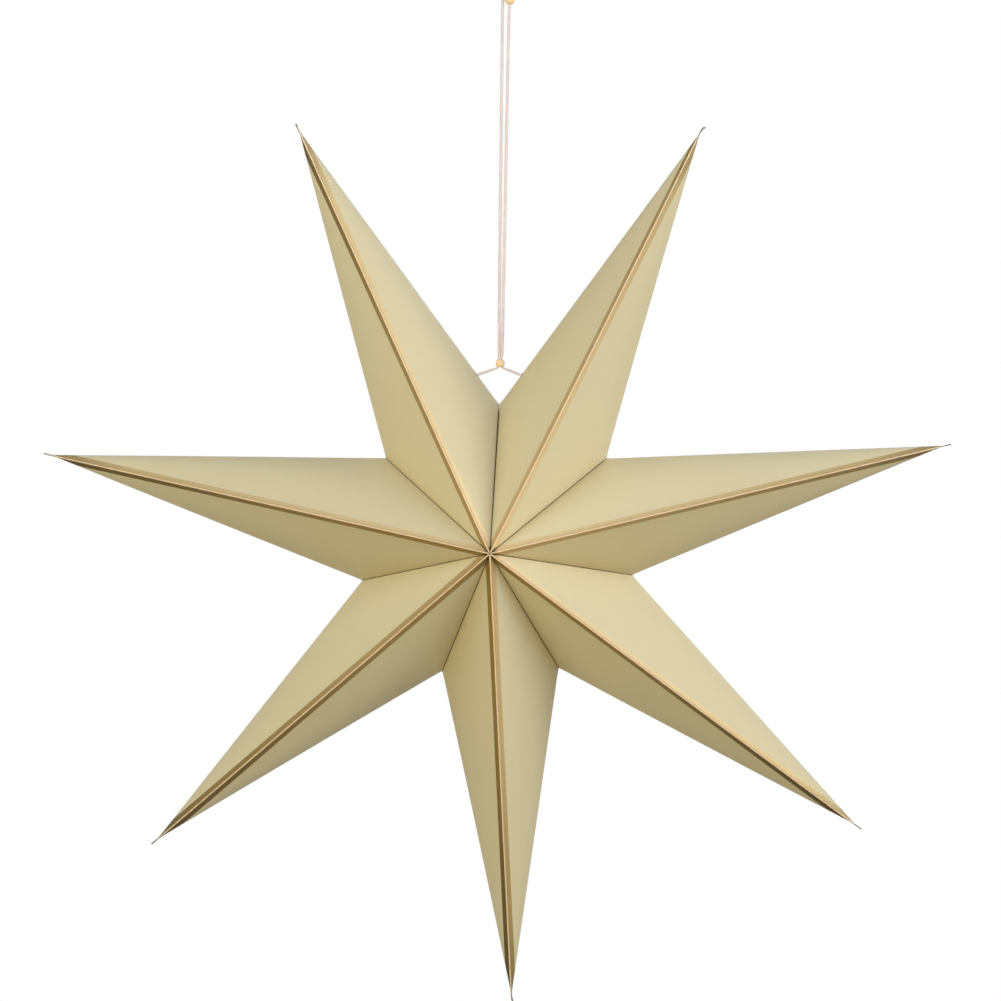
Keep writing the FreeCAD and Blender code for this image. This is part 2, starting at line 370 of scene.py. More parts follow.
@dataclass
class FoldedLeaf:
    """One die-cut leaf: facets, glued fin and glued flange with softly rounded folds."""

    name: str
    sizes: StarSizes
    direction: float
    half_angle: float
    clockwise: bool
    bend: CardBend
    fuller: bool
    painted_glare: float
    outline: float
    lean: float
    curl: float
    twist: float
    hub_rows: int = 16
    tip_rows: int = 28
    facet_columns: int = 14
    fold_steps: int = 6
    strip_columns: int = 4
    tail_columns: int = 7
    edge_share: float = 0.004
    knee_share: float = 0.8

    def half(self, corners: SheetCorners, share: np.ndarray, at_hub: bool) -> np.ndarray:
        """One half of a face, from the fin's edge to the flange's edge or to the crease.

        Each row is a line across the leaf: fin edge, ridge, outer edge and, near the hub, the
        flange's edge. Its corners are rounded, and the facet between them bellies out.

        Args:
            corners: The corners of this half.
            share: How far each row is along its stretch, from 0 to 1.
            at_hub: True between hub and notch, False between notch and tip.

        Returns:
            An array of rows by columns by 3.
        """
        bend = self.bend
        knee = self.knee(corners)
        along = share * knee if at_hub else knee + share * (1.0 - knee)
        fin = between(corners.fin, corners.tail, along)
        ridge = between(corners.ridge, corners.tip, along)
        if at_hub:
            outer = between(corners.gutter, corners.notch, share)
            last = between(corners.flange, corners.flange_notch, share)
        else:
            run = corners.tip - corners.notch
            outward = np.array([run[2], 0.0, -run[0]]) / np.linalg.norm(run)
            bow = 4 * self.outline * share * (1 - share)
            outer = between(corners.notch, corners.tip, share) + outward * bow[:, None]
            last = ridge * np.array([1.0, -1.0, 1.0])
        fading = np.clip(np.linalg.norm(outer - corners.notch, axis=1) / bend.fade, 0.0, 1.0)
        at_ridge = rounded(fin, ridge, outer, np.full(len(share), bend.fold_reach), self.fold_steps)
        at_outer = rounded(ridge, outer, last, bend.fold_reach * fading, self.fold_steps * 2 - 1)
        start, end = at_ridge[:, -1], at_outer[:, 0]
        v = self.columns()
        inner = start[:, None] + (end - start)[:, None] * v[None, :, None]
        lift = bend.lift(v, np.linalg.norm(end - start, axis=1), self.fuller)
        inner = inner + lift[..., None] * corners.out
        strip = np.linspace(0, 1, self.strip_columns)[None, :, None]
        fin_part = fin[:, None] + (at_ridge[:, 0] - fin)[:, None] * strip[:, :-1]
        pieces = [fin_part, at_ridge, inner]
        if at_hub:
            arrive = at_outer[:, -1]
            pieces += [at_outer, arrive[:, None] + (last - arrive)[:, None] * strip[:, 1:]]
        else:
            pieces += [at_outer[:, : self.fold_steps]]
        return np.concatenate(pieces, axis=1)

    def finished(self, grid: np.ndarray) -> np.ndarray:
        """Trims the crests to the star's depth, leans the point and curls its tail.

        A point moves sideways by lean * (height / tip radius)^2. Past the tip it also moves by
        curl * p^2 + twist * depth * p, where p is how far past it is, over the tail's length.
        """
        grid = np.array(grid)
        deep = self.sizes.crest_depth
        grid[..., 1] = np.clip(grid[..., 1], -deep, deep)
        past = np.clip((grid[..., 2] - self.sizes.tip_radius) / self.sizes.tail_length, 0.0, 1.0)
        high = np.clip(grid[..., 2] / self.sizes.tip_radius, 0.0, 1.1)
        grid[..., 0] += self.lean * high**2 + self.curl * past**2 + self.twist * grid[..., 1] * past
        return grid

    def columns(self) -> np.ndarray:
        """Shares across a facet, crowded towards its folds and without its ends."""
        even = np.linspace(0.0, 1.0, self.facet_columns)
        eased = 0.5 - 0.5 * np.cos(np.pi * even)
        return np.concatenate([[self.edge_share], eased[1:-1], [1.0 - self.edge_share]])

    def knee(self, corners: SheetCorners) -> float:
        """How far along the ridge the row that meets the notch starts, from 0 to 1."""
        ridge = corners.tip - corners.ridge
        return float((corners.notch - corners.ridge) @ ridge / (ridge @ ridge)) * self.knee_share

    def build(self) -> Piece:
        """Makes the leaf's mesh, with its painted glare and its distances from the folds as attributes.

        Returns:
            The leaf, in its place in the frame.
        """
        fold = LeafFold(self.sizes, self.half_angle)
        hub_share = np.linspace(0.0, 1.0, self.hub_rows)
        eased = 0.5 - 0.5 * np.cos(np.pi * np.linspace(0.0, 1.0, self.tip_rows))
        parts = MeshParts()
        rims: dict[str, list[np.ndarray]] = {}
        lines: dict[str, list[Ends]] = {}
        for lining in (False, True):
            slot = Face.INSIDE if lining else Face.PRINTED
            for side in Side:
                corners = fold.corners(side, lining)
                flip = (side is Side.FRONT) != lining
                for at_hub, share in ((True, hub_share), (False, eased)):
                    grid = self.finished(self.half(corners, share, at_hub))
                    parts.add_grid(grid, flip, slot)
                    rims.setdefault(f"fin {side.name} {at_hub}", []).append(grid[:, 0])
                    if at_hub:
                        rims.setdefault(f"flange {side.name}", []).append(grid[:, -1])
                        rims.setdefault(f"hub {side.name}", []).append(grid[0])
                if not lining:
                    lines.setdefault("from_ridge", []).append((corners.ridge, corners.tip))
                    lines.setdefault("from_valley", []).append((corners.gutter, corners.notch))
                    lines.setdefault("from_crease", []).append((corners.notch, corners.tip))
            front, back = (fold.corners(side, lining) for side in Side)
            out = np.linspace(0.0, 1.0, self.tail_columns)
            tail = self.finished(np.stack([between(end.tip, end.tail, out) for end in (front, back)]))
            parts.add_grid(tail, not lining, slot)
            rims.setdefault("tail", []).append(tail[:, -1])
        for name, (printed, lining_edge) in rims.items():
            turned = name.startswith(("fin BACK", "flange FRONT", "hub FRONT", "tail"))
            parts.add_grid(np.stack([printed, lining_edge]), turned, Face.CUT_EDGE)
        leaf = parts.build(self.name)
        hub = np.array([0.0, self.sizes.half_depth, 0.0])
        lines["from_hub"] = [(-hub, hub)]
        for name, ends in lines.items():
            self.mark_distance(leaf, name, ends)
        # Painted glare: one share for the whole leaf that paints its foil paler, a painted highlight where
        # the leaf faces the light.
        painted_shine = leaf.data.attributes.new("foil_glare", "FLOAT", "POINT")
        painted_shine.data.foreach_set("value", np.full(len(leaf.data.vertices), self.painted_glare, dtype=np.float32))
        self.place(leaf)
        return leaf

    @staticmethod
    def mark_distance(leaf: Piece, name: str, lines: list[Ends]) -> None:
        """Writes each point's distance to the nearest of some fold lines, in metres.

        Args:
            leaf: The leaf, still in its point's own frame.
            name: The attribute's name.
            lines: The two ends of each fold line.
        """
        points, found = points_of(leaf.data), []
        for start, end in lines:
            run = end - start
            share = np.clip((points - start) @ run / (run @ run), 0.0, 1.0)
            found.append(np.linalg.norm(points - start - share[:, None] * run, axis=1))
        mark = leaf.data.attributes.new(name, "FLOAT", "POINT")
        mark.data.foreach_set("value", np.min(found, axis=0).astype(np.float32))

    def place(self, leaf: Piece) -> None:
        """Turns the leaf's mesh to its point's direction and hangs it at the star's centre."""
        turn = Matrix.Rotation(math.radians(self.direction), 4, "Y")
        flip = Matrix.Identity(4) if self.clockwise else Matrix.Scale(-1, 4, (1, 0, 0))
        leaf.data.transform(Matrix.Translation(self.sizes.centre) @ turn @ flip)
        if not self.clockwise:
            leaf.data.flip_normals()
        shade_smooth(leaf)
        leaf.data.update()


class Nodes:
    """A short way to lay out a node tree."""

    def __init__(self, tree: Tree) -> None:
        """Starts on an emptied tree.

        Args:
            tree: The tree to fill.
        """
        tree.nodes.clear()
        self.tree = tree

    def add(self, kind: str, /, props: dict | None = None, **sockets: object) -> Node:
        """Adds a node, sets its properties, and sets or links its inputs.

        Args:
            kind: The node's type name without its ShaderNode start, or a full type name.
            props: Properties to set on the node.
            **sockets: Inputs by name, with spaces as underscores. An output socket is linked.
                Vector_001 is the second of two inputs that are both called Vector.

        Returns:
            The new node.
        """
        node = self.tree.nodes.new(kind if kind.startswith("Node") else f"ShaderNode{kind}")
        for name, value in (props or {}).items():
            setattr(node, name, value)
        for name, value in sockets.items():
            self.feed(node.inputs[1] if name == "Vector_001" else node.inputs[name.replace("_", " ")], value)
        return node

    def feed(self, socket: Socket, value: object) -> None:
        """Links an output to the socket, or sets the socket's own value."""
        if isinstance(value, Socket):
            self.tree.links.new(value, socket)
        elif isinstance(value, tuple) and len(value) == 3 and socket.type == "RGBA":
            socket.default_value = (*value, 1.0)
        else:
            socket.default_value = value

    def math(self, operation: str, *values: object) -> Socket:
        """A Math node's answer for the given inputs."""
        node = self.add("Math", {"operation": operation})
        for socket, value in zip(node.inputs, values):
            self.feed(socket, value)
        return node.outputs[0]

    def mix(self, factor: object, first: object, second: object) -> Socket:
        """A colour between first and second."""
        node = self.add("Mix", {"data_type": "RGBA"})
        for socket, value in zip((node.inputs[0], node.inputs[6], node.inputs[7]), (factor, first, second)):
            self.feed(socket, value)
        return node.outputs[2]

    def mottle(self, group: Tree, position: Socket, colour: object, scale: float, amount: float) -> Node:
        """The fibre mottle over a colour.

        Args:
            group: The mottle's node group.
            position: Where on the piece it is.
            colour: The colour, or a socket that gives it.
            scale: How fine the fibres are.
            amount: How much they lighten and darken.

        Returns:
            The group's node, with Colour and Height out.
        """
        props = {"node_tree": group}
        return self.add("Group", props, Position=position, Colour=colour, Scale=scale, Amount=amount)

    def relief(self, strength: float, height: Socket) -> Socket:
        """The normal of a surface that rises and falls with a height."""
        return self.add("Bump", Strength=strength, Distance=BUMP_DISTANCE, Height=height).outputs[0]

    def attribute(self, name: str) -> Socket:
        """A number that the mesh carries under the given name."""
        return self.add("Attribute", {"attribute_name": name}).outputs["Fac"]

    def ramp(self, value: object, low: float, high: float, to_low: object, to_high: object) -> Socket:
        """Value carried from one range to another, held at its ends."""
        node = self.add("MapRange")
        for socket, part in zip(node.inputs, (value, low, high, to_low, to_high)):
            self.feed(socket, part)
        return node.outputs[0]


def mottle_group() -> Tree:
    """Fine fibre mottle over a colour, shared by card, cut edges, wood and cord.

    Returns:
        A group with Position, Colour, Scale and Amount in, and Colour and Height out.
    """
    group = bpy.data.node_groups.new("fibre_mottle", "ShaderNodeTree")
    for name, kind in (("Position", "Vector"), ("Colour", "Color"), ("Scale", "Float"), ("Amount", "Float")):
        group.interface.new_socket(name, in_out="INPUT", socket_type=f"NodeSocket{kind}")
    for name, kind in (("Colour", "Color"), ("Height", "Float")):
        group.interface.new_socket(name, in_out="OUTPUT", socket_type=f"NodeSocket{kind}")
    nodes = Nodes(group)
    given = nodes.add("NodeGroupInput").outputs
    fine_share, broad_share, broad_scale, middle = 0.6, 0.4, 0.04, 0.5
    fine = nodes.add("TexNoise", Vector=given["Position"], Scale=given["Scale"], Detail=4.0)
    coarse = nodes.math("MULTIPLY", given["Scale"], broad_scale)
    broad = nodes.add("TexNoise", Vector=given["Position"], Scale=coarse, Detail=2.0)
    weighed = [
        nodes.math("MULTIPLY", noise.outputs[0], share)
        for noise, share in ((fine, fine_share), (broad, broad_share))
    ]
    both = nodes.math("ADD", *weighed)
    swing = nodes.math("MULTIPLY", nodes.math("SUBTRACT", both, middle), given["Amount"])
    shade = nodes.add("HueSaturation", Value=nodes.math("ADD", swing, 1.0), Color=given["Colour"])
    out = nodes.add("NodeGroupOutput")
    nodes.feed(out.inputs["Colour"], shade.outputs[0])
    nodes.feed(out.inputs["Height"], fine.outputs[0])
    return group


def new_material(name: str) -> tuple[Material, Nodes]:
    """Makes a material with an emptied node tree.

    Args:
        name: The material's name.

    Returns:
        The material, and the layout helper for its tree.
    """
    material = bpy.data.materials.new(name)
    material.use_nodes = True
    return material, Nodes(material.node_tree)


@dataclass(frozen=True)
class CardFinish:
    """Coated card printed sage, with a foil stripe along each ridge.

    The bands are distances in metres over which a change runs: from the outer crease (sharp, soft:
    a painted sheen), from the valley (valley: painted shade over a dark glue line; gutter: roughness)
    or from the star's middle line (hub: a painted shadow; painted shade and dark: painted shade that
    darkens the foil towards the tips; tail). The foil is painted paler with each leaf's painted glare.
    """

    sage: Colour = srgb(202, 188, 144)
    # foil and foil_painted_lit are shaded and lit copies of the foil colour, mixed by each leaf's painted
    # glare: a painted highlight.
    foil: Colour = srgb(146, 116, 52)
    foil_painted_lit: Colour = srgb(214, 191, 144)
    # crease: the pale colour of a painted sheen along the outer crease.
    crease: Colour = srgb(200, 194, 174)
    # valley: the dark line along each valley, painted shade in the crease over a dark glue line.
    valley: Colour = srgb(82, 66, 12)
    # hole: painted shade where the cord holes are, since the card's mesh has no openings there.
    hole: Colour = srgb(70, 52, 34)
    hole_radius: float = 0.0019
    hole_blur: float = 0.0002
    holes: tuple[Vector, Vector] = StarSizes().cord_holes()
    hub_shadow: Colour = srgb(74, 54, 24)
    tail: Colour = srgb(120, 116, 106)
    stripe_width: float = 0.0057
    stripe_lit: float = 0.0042
    gloss: float = 0.15
    card_roughness: float = 0.48
    foil_roughness: float = 0.42
    foil_metal: float = 0.35
    bump: float = 0.12
    card_scale: float = 1800.0
    card_mottle: float = 0.10
    foil_scale: float = 2000.0
    foil_mottle: float = 0.12
    # Painted shade on the foil towards the tips: tip_shade on shaded leaves, tip_lit on lit ones, dark_shade
    # near the very tips.
    tip_shade: float = 0.36
    tip_lit: float = 0.85
    dark_shade: float = 0.6
    painted_shade_saturation: float = 1.15
    stripe_blur: float = 0.00008
    stripe_wander: float = 0.0002
    sharp_sheen: float = 0.6
    soft_sheen: float = 0.4
    valley_shade_strength: float = 0.9
    hub_tint: float = 0.85
    tail_tint: float = 0.85
    sharp_band: Pair = (0.0002, 0.0007)
    soft_band: Pair = (0.0, 0.004)
    valley_band: Pair = (0.0002, 0.0006)
    gutter_band: Pair = (0.0005, 0.0014)
    hub_band: Pair = (0.002, 0.0065)
    painted_shade_band: Pair = (0.06, 0.26)
    dark_band: Pair = (0.285, 0.335)
    tail_band: Pair = (0.335, 0.347)

    def dress(self, group: Tree) -> Material:
        """Makes the printed card's material."""
        material, nodes = new_material("printed_card")
        position = nodes.add("TexCoord").outputs["Object"]
        painted_glare = nodes.attribute("foil_glare")
        outward = nodes.attribute("from_hub")
        gutter = nodes.attribute("from_valley")
        fibres = nodes.mottle(group, position, self.sage, self.card_scale, self.card_mottle)
        mask = self.stripe(nodes, position, painted_glare)
        foil = self.foil_colour(nodes, group, position, painted_glare, outward)
        banded = nodes.mix(mask, self.card_with_crease_sheen(nodes, fibres), foil)
        # Painted shade in the valley crease, over a dark glue line.
        valley_shaded = nodes.mix(nodes.ramp(gutter, *self.valley_band, self.valley_shade_strength, 0.0), banded, self.valley)
        deep = nodes.mix(nodes.ramp(outward, *self.hub_band, self.hub_tint, 0.0), valley_shaded, self.hub_shadow)
        face_rough = nodes.ramp(mask, 0.0, 1.0, self.card_roughness, self.foil_roughness)
        rough = nodes.math("MAXIMUM", face_rough, nodes.ramp(gutter, *self.gutter_band, 1.0, 0.0))
        shader = nodes.add(
            "BsdfPrincipled",
            # The cord holes are painted shade: dark marks on the card, not openings.
            Base_Color=nodes.mix(self.painted_hole_marks(nodes, position), deep, self.hole),
            Roughness=rough,
            Metallic=nodes.math("MULTIPLY", mask, self.foil_metal),
            Specular_IOR_Level=self.gloss,
            Normal=nodes.relief(self.bump, fibres.outputs["Height"]),
        )
        nodes.add("OutputMaterial", Surface=shader.outputs[0])
        return material

    def stripe(self, nodes: Nodes, position: Socket, painted_glare: Socket) -> Socket:
        """The foil's mask: 1 near the ridge and 0 past the stripe's slightly wandering edge."""
        noise = nodes.add("TexNoise", Vector=position, Scale=60.0, Detail=3.0).outputs[0]
        wander = nodes.math("MULTIPLY", nodes.math("SUBTRACT", noise, 0.5), self.stripe_wander)
        edge = nodes.math("ADD", nodes.attribute("from_ridge"), wander)
        width = nodes.ramp(painted_glare, 0.0, 1.0, self.stripe_width, self.stripe_lit)
        return nodes.ramp(nodes.math("SUBTRACT", edge, width), -self.stripe_blur, self.stripe_blur, 1.0, 0.0)

    def card_with_crease_sheen(self, nodes: Nodes, fibres: Node) -> Socket:
        """The card's colour with a painted sheen: paler along the outer crease, where the fold catches light.
        """
        folded = nodes.attribute("from_crease")
        # Painted sheen: the card is painted paler along the outer crease, where the fold catches light.
        sharp = nodes.ramp(folded, *self.sharp_band, self.sharp_sheen, 0.0)
        crease_sheen_mask = nodes.math("ADD", sharp, nodes.ramp(folded, *self.soft_band, self.soft_sheen, 0.0))
        return nodes.mix(crease_sheen_mask, fibres.outputs["Colour"], self.crease)

    def foil_colour(
        self, nodes: Nodes, group: Tree, position: Socket, painted_glare: Socket, outward: Socket
    ) -> Socket:
        """The foil's colour: paler with the painted glare, a painted highlight on leaves that face the light;
        darker outwards, a painted shade; and grey at the tail.
        """
        # Painted highlight: the foil is painted paler on the leaves that face the light.
        gold = nodes.mix(painted_glare, self.foil, self.foil_painted_lit)
        gilt = nodes.mottle(group, position, gold, self.foil_scale, self.foil_mottle)
        # Painted shade: the foil darkens and grows richer towards the tips, less on leaves with more painted
        # glare, and darkens again near the very tips.
        tip_shade = nodes.ramp(painted_glare, 0.0, 1.0, self.tip_shade, self.tip_lit)
        shades = [
            nodes.ramp(outward, *self.painted_shade_band, 1.0, tip_shade),
            nodes.ramp(outward, *self.dark_band, 1.0, self.dark_shade),
        ]
        painted_tip_shade = nodes.add(
            "HueSaturation",
            Color=gilt.outputs["Colour"],
            Value=nodes.math("MULTIPLY", *shades),
            Saturation=nodes.ramp(outward, *self.painted_shade_band, 1.0, self.painted_shade_saturation),
        )
        greyed = nodes.ramp(outward, *self.tail_band, 0.0, self.tail_tint)
        return nodes.mix(greyed, painted_tip_shade.outputs[0], self.tail)

    def painted_hole_marks(self, nodes: Nodes, position: Socket) -> Socket:
        """The mask of the dark marks painted where the cord holes are, a painted shade that stands for
        openings the mesh lacks: 1 nearer to one than its radius.
        """
        away = []
        for hole in self.holes:
            node = nodes.add("VectorMath", {"operation": "DISTANCE"}, Vector=position, Vector_001=tuple(hole))
            away.append(node.outputs["Value"])
        near = nodes.math("MINIMUM", *away)
        return nodes.ramp(near, self.hole_radius - self.hole_blur, self.hole_radius, 1.0, 0.0)


@dataclass(frozen=True)
class PlainFinish:
    """A matte mottled surface: the card's inside, its cut edges, the cord or the wood."""

    name: str
    colour: Colour
    scale: float
    amount: float
    roughness: float
    bump: float = 0.2
    stretch: tuple[float, float, float] = (1.0, 1.0, 1.0)
    tail: Colour | None = None
    tail_band: Pair = (0.336, 0.346)

    def dress(self, group: Tree) -> Material:
        """Makes the material, which turns to the tail's colour at the tips where it has one."""
        material, nodes = new_material(self.name)
        position = nodes.add("Mapping", Vector=nodes.add("TexCoord").outputs["Object"], Scale=self.stretch)
        colour = self.colour
        if self.tail:
            greyed = nodes.ramp(nodes.attribute("from_hub"), *self.tail_band, 0.0, 1.0)
            colour = nodes.mix(greyed, self.colour, self.tail)
        mottle = nodes.mottle(group, position.outputs[0], colour, self.scale, self.amount)
        shader = nodes.add(
            "BsdfPrincipled",
            Base_Color=mottle.outputs["Colour"],
            Roughness=self.roughness,
            Normal=nodes.relief(self.bump, mottle.outputs["Height"]),
        )
        nodes.add("OutputMaterial", Surface=shader.outputs[0])
        return material


@dataclass
class CardStar:
    """The fourteen leaves, clockwise from the open top seam."""

    sizes: StarSizes
    materials: list[Material]
    bend: CardBend = field(default_factory=CardBend)
    # Painted glare for each point's leaves a and b: how much paler their foil is painted where they face the
    # light.
    painted_glare: tuple[Pair, ...] = (
        (0.57, 0.86), (0.83, 0.42), (1.05, 0.08), (0.58, 0.00),
        (0.20, 0.33), (0.12, 0.85), (0.20, 1.05),
    )

    def build(self) -> list[Piece]:
        """Builds and dresses every leaf.

        Returns:
            The leaves.
        """
        made, edge, seam = [], 0.0, self.sizes.seam_opening / 2
        last = len(self.sizes.spreads)
        for number, spread in enumerate(self.sizes.spreads, start=1):
            direction = edge + spread / 2
            starts = edge + (seam if number == 1 else 0.0)
            ends = edge + spread - (seam if number == last else 0.0)
            sides = (("a", direction - starts, False), ("b", ends - direction, True))
            for (mark, half_angle, clockwise), painted_glare in zip(sides, self.painted_glare[number - 1]):
                label, turned, bend = f"{number}{mark}", 1 if clockwise else -1, self.bend
                leaf = FoldedLeaf(
                    name=f"card_{label}",
                    sizes=self.sizes,
                    direction=direction,
                    half_angle=math.radians(half_angle),
                    clockwise=clockwise,
                    bend=bend,
                    fuller=label in bend.fuller_leaves,
                    painted_glare=painted_glare,
                    outline=dict(bend.outlines).get(label, bend.outline),
                    lean=bend.leans[number - 1] * turned,
                    curl=bend.tail_curls[number - 1] * turned,
                    twist=bend.tail_twists[number - 1] * turned,
                ).build()
                for material in self.materials:
                    leaf.data.materials.append(material)
                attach(leaf, ROOT_BODY)
                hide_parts(f"point_{number}_leaf_{mark}")
                made.append(leaf)
            edge += spread
        log.info("star: %d leaves", len(made))
        return made


@dataclass
class WoodenBead:
    """A turned ball bead, bored along Z with rounded rims."""

    name: str
    node: str
    middle: tuple[float, float, float]
    radius: float
    bore: float
    material: Material
    rim: float = 0.0003
    arc_steps: int = 40
    wall_steps: int = 8
    rim_steps: int = 7
    sides: int = 64

    def profile(self) -> np.ndarray:
        """The bead's section as radius and height, a closed loop from the top rim round and back.

        The outside is the arc of the ball. The rims are quarter turns that join it to the bore.
        """
        top = math.sqrt(self.radius**2 - self.bore**2)
        lean = math.atan2(top - self.rim * 1.4, self.bore + self.rim)
        ball = np.linspace(lean, -lean, self.arc_steps)
        outer = np.stack([np.cos(ball), np.sin(ball)], axis=1) * self.radius
        wall = np.linspace(-1.0, 1.0, self.wall_steps) * (top - self.rim * 2.2)
        inner = np.stack([np.full(self.wall_steps, self.bore), wall], axis=1)
        loop = [outer]
        for start, end, corner in (
            (outer[-1], inner[0], (self.bore, -top + self.rim * 0.7)),
            (inner[-1], outer[0], (self.bore, top - self.rim * 0.7)),
        ):
            t = np.linspace(0, 1, self.rim_steps)[1:-1, None]
            turn = (1 - t) ** 2 * start + 2 * t * (1 - t) * np.array(corner) + t**2 * end
            loop.append(turn)
        return np.concatenate([loop[0], loop[1], inner, loop[2], outer[:1]])

    def build(self) -> Piece:
        """Turns the profile about Z and dresses the bead."""
        section = self.profile()
        angle = np.linspace(0.0, 2 * np.pi, self.sides + 1)[:, None]
        x = np.cos(angle) * section[None, :, 0]
        y = np.sin(angle) * section[None, :, 0]
        z = np.broadcast_to(section[None, :, 1], x.shape)
        parts = MeshParts()
        parts.add_grid(np.stack([x, y, z], axis=-1), True, Face.PRINTED)
        bead = parts.build(self.name)
        bead.data.transform(Matrix.Translation(self.middle))
        shade_smooth(bead)
        bead.data.materials.append(self.material)
        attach(bead, ROOT_BODY)
        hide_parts(self.node)
        log.info("bead %s", self.name)
        return bead


@dataclass
class HangingCord:
    """The doubled cotton cord: three plies twisted along one route, with its knots.

    Its route is given as sideways and upward places: below and below_right from the star's centre,
    above from the loop's crown. The bores are heights where the cord is squeezed inside a bead.
    """

    material: Material
    star_drop: float
    diameter: float = 0.002
    full: float = 0.0026
    strand: float = 0.0023
    squeezed: float = 0.00162
    threaded: float = 0.0021
    twist_length: float = 0.0065
    ply_radius: float = 0.00053
    steps_a_turn: int = 12
    ply_sides: int = 8
    low_bore: tuple[float, ...] = (-0.3262, -0.3228, -0.3150, -0.3125)
    high_bead: float = -0.0464
    high_bore: Pair = (0.003, 0.0042)
    knot_middle: tuple[float, float, float] = (0.0, 0.0, -0.034)
    knot_width: float = 0.0088
    stopper_width: float = 0.0052
    stopper_cord: float = 0.0017
    below: tuple[Pair, ...] = (
        (-0.02045, 0.12465), (-0.0173, 0.1271), (-0.0108, 0.12935), (-0.0046, 0.13165),
        (-0.00085, 0.1331), (-0.00085, 0.1374),
    )
    above: tuple[Pair, ...] = (
        (-0.0014, -0.3025), (-0.00405, -0.059), (-0.0043, -0.0465), (-0.0013, -0.0345),
        (-0.0072, -0.016), (-0.0075, 0.0008), (0.0075, 0.0008), (0.0072, -0.016),
        (0.0013, -0.0345), (0.00115, -0.0485), (0.0006, -0.0625), (0.0014, -0.3025),
    )
    below_right: tuple[Pair, ...] = (
        (0.00085, 0.1374), (0.00085, 0.1331), (0.0046, 0.1318), (0.0104, 0.1297),
        (0.0166, 0.1275), (0.01985, 0.12525),
    )

    def route(self) -> np.ndarray:
        """The route's points in the frame, from the left stopper knot to the right one."""
        low = [(x, 0.0, z - self.star_drop) for x, z in self.below]
        high = [(x, 0.0, z) for x, z in self.above]
        right = [(x, 0.0, z - self.star_drop) for x, z in self.below_right]
        return np.array(low + high + right)

    def centreline(self) -> np.ndarray:
        """Points of the smooth line that the route steers, evenly spaced along it."""
        curve = bpy.data.curves.new("cord_route", "CURVE")
        curve.dimensions = "3D"
        curve.resolution_u = 24
        spline = curve.splines.new("NURBS")
        route = self.route()
        spline.points.add(len(route) - 1)
        weights = np.ones((len(route), 1))
        spline.points.foreach_set("co", np.concatenate([route, weights], axis=1).ravel())
        spline.order_u = 3
        spline.use_endpoint_u = True
        holder = new_object("cord_route", curve)
        line = bpy.data.meshes.new_from_object(holder)
        points = points_of(line)
        bpy.data.objects.remove(holder)
        bpy.data.meshes.remove(line)
        runs = np.linalg.norm(np.diff(points, axis=0), axis=1)
        walked = np.concatenate([[0.0], np.cumsum(runs)])
        even = np.linspace(0.0, walked[-1], int(walked[-1] / (self.twist_length / self.steps_a_turn)))
        return np.stack([np.interp(even, walked, points[:, axis]) for axis in range(3)], axis=1)

    def girth(self, line: np.ndarray) -> np.ndarray:
        """How thick the cord is at each point: full where it hangs, squeezed inside the beads.

        Args:
            line: The line's points.

        Returns:
            One thickness a point, in metres.
        """
        height = line[:, 2]
        along = np.interp(height, self.low_bore, [self.strand, self.squeezed, self.squeezed, self.full])
        bead = np.interp(np.abs(height - self.high_bead), self.high_bore, [self.threaded, self.full])
        right_strand = np.arange(len(line)) > len(line) // 2
        return np.where(right_strand, np.minimum(along, bead), along)

    def plies(self, line: np.ndarray, name: str, thickness: float | np.ndarray) -> Piece:
        """Three plies twisted round a line.

        A ply's middle is line + offset (cos a side + sin a normal), where a grows by a full turn
        each twist length, and its skin is a circle round that middle, square to the line.

        Args:
            line: The line's points, evenly spaced.
            name: The piece's name.
            thickness: The whole cord's diameter, one value or one a point.

        Returns:
            The twisted cord as one mesh.
        """
        tangent = np.gradient(line, axis=0)
        tangent /= np.linalg.norm(tangent, axis=1)[:, None]
        guide = np.array([0.0, 1.0, 0.0])
        side = np.cross(tangent, guide)
        side /= np.maximum(np.linalg.norm(side, axis=1), 1e-9)[:, None]
        normal = np.cross(side, tangent)
        thick = np.broadcast_to(thickness, len(line))[:, None]
        ply = self.ply_radius * thick / self.diameter
        offset = thick / 2 - ply
        spin = 2 * np.pi * np.arange(len(line)) / self.steps_a_turn
        turn = np.linspace(0.0, 2 * np.pi, self.ply_sides + 1)[None, :, None]
        circle = np.cos(turn) * side[:, None] + np.sin(turn) * normal[:, None]
        parts = MeshParts()
        for start in np.arange(3) * 2 * np.pi / 3:
            a = (spin + start)[:, None]
            middle = line + offset * (np.cos(a) * side + np.sin(a) * normal)
            grid = middle[:, None] + ply[:, None] * circle
            caps = np.broadcast_to(middle[[0, -1], None], (2, self.ply_sides + 1, 3))
            parts.add_grid(np.concatenate([caps[:1], grid, caps[1:]]), False, Face.PRINTED)
        cord = parts.build(name)
        shade_smooth(cord)
        cord.data.materials.append(self.material)
        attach(cord, ROOT_BODY)
        return cord

    def knot(self, name: str, middle: tuple[float, float, float], width: float, thickness: float) -> Piece:
        """An overhand knot drawn tight: a cord along (sin t + 2 sin 2t, -0.9 sin 3t, cos t - 2 cos 2t) / 6.

        Args:
            name: The piece's name.
            middle: Where its middle is.
            width: How wide it is.
            thickness: The cord's diameter in the knot.

        Returns:
            The knot as one mesh.
        """
        t = np.linspace(0.0, 2 * np.pi, 150)
        x, y, z = np.sin(t) + 2 * np.sin(2 * t), -0.9 * np.sin(3 * t), np.cos(t) - 2 * np.cos(2 * t)
        line = np.stack([x, y, z], axis=1) / 6.0 * (width - thickness) + np.array(middle)
        return self.plies(line, name, thickness)

